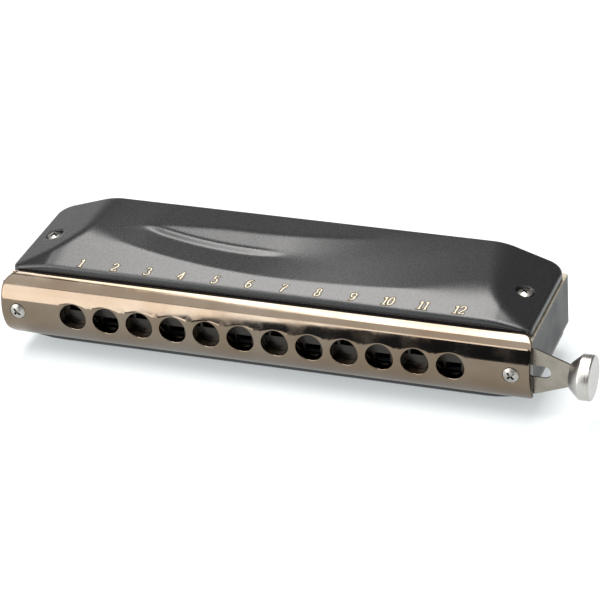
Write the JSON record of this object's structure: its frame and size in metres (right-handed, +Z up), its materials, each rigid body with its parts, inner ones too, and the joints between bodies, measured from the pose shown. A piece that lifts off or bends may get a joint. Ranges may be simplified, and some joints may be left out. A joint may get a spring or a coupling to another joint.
{
  "type": "chromatic harmonica",
  "caption": "Chromatic harmonica: bowed plated mouthpiece with round holes, sprung slide with a button, comb, reed plates and black open-backed covers.",
  "frame": {"origin": "middle of the underside of the whole instrument, button included", "axes": "+X along the hole row towards the slide button, +Y from the mouthpiece to the open back of the covers, +Z up through the upper cover"},
  "size_m": [0.1604, 0.0428, 0.0296],
  "materials": {
    "plated_mouthpiece": "polished warm-tinted plating over brass",
    "slide_steel": "fine brushed along its length",
    "button_steel": "turned, satin nickel",
    "silicone": "translucent milky",
    "spring_steel": "drawn wire",
    "comb_plastic": "dark moulded plastic",
    "plate_brass": "ground, edges nickel plated",
    "reed_brass": "bright brass",
    "valve_film": "thin frosted film",
    "cover_paint": "satin black with a fine speckle",
    "small_screw": "bright",
    "screw_steel": "bright nickel"
  },
  "bodies": {
    "harmonica": {"mouthpiece": "plated_mouthpiece", "mouthpiece_screws": "screw_steel", "slide_front_plate": "slide_steel", "slide_channel": "slide_steel", "slide_bumpers": "silicone", "slide_spring": "spring_steel", "comb": "comb_plastic", "upper_reed_plate": "plate_brass", "lower_reed_plate": "plate_brass", "upper_blow_reeds": "reed_brass", "upper_draw_reeds": "reed_brass", "lower_blow_reeds": "reed_brass", "lower_draw_reeds": "reed_brass", "upper_reed_rivets": "reed_brass", "lower_reed_rivets": "reed_brass", "upper_outer_valves": "valve_film", "upper_inner_valves": "valve_film", "lower_outer_valves": "valve_film", "lower_inner_valves": "valve_film", "upper_plate_screws": "small_screw", "lower_plate_screws": "small_screw", "upper_cover": "cover_paint", "lower_cover": "cover_paint", "upper_cover_screws": "screw_steel", "lower_cover_screws": "screw_steel"},
    "slide": {"slide_plate": "slide_steel", "slide_button": "button_steel"}
  },
  "joints": [
    {"name": "slide_push", "type": "slide", "parent": "harmonica", "child": "slide", "axis": [-1, 0, 0], "range_m": [0, 0.0047], "stiffness_N_per_m": 300, "springref_m": -0.005, "deforming": ["slide_spring"]}
  ]
}
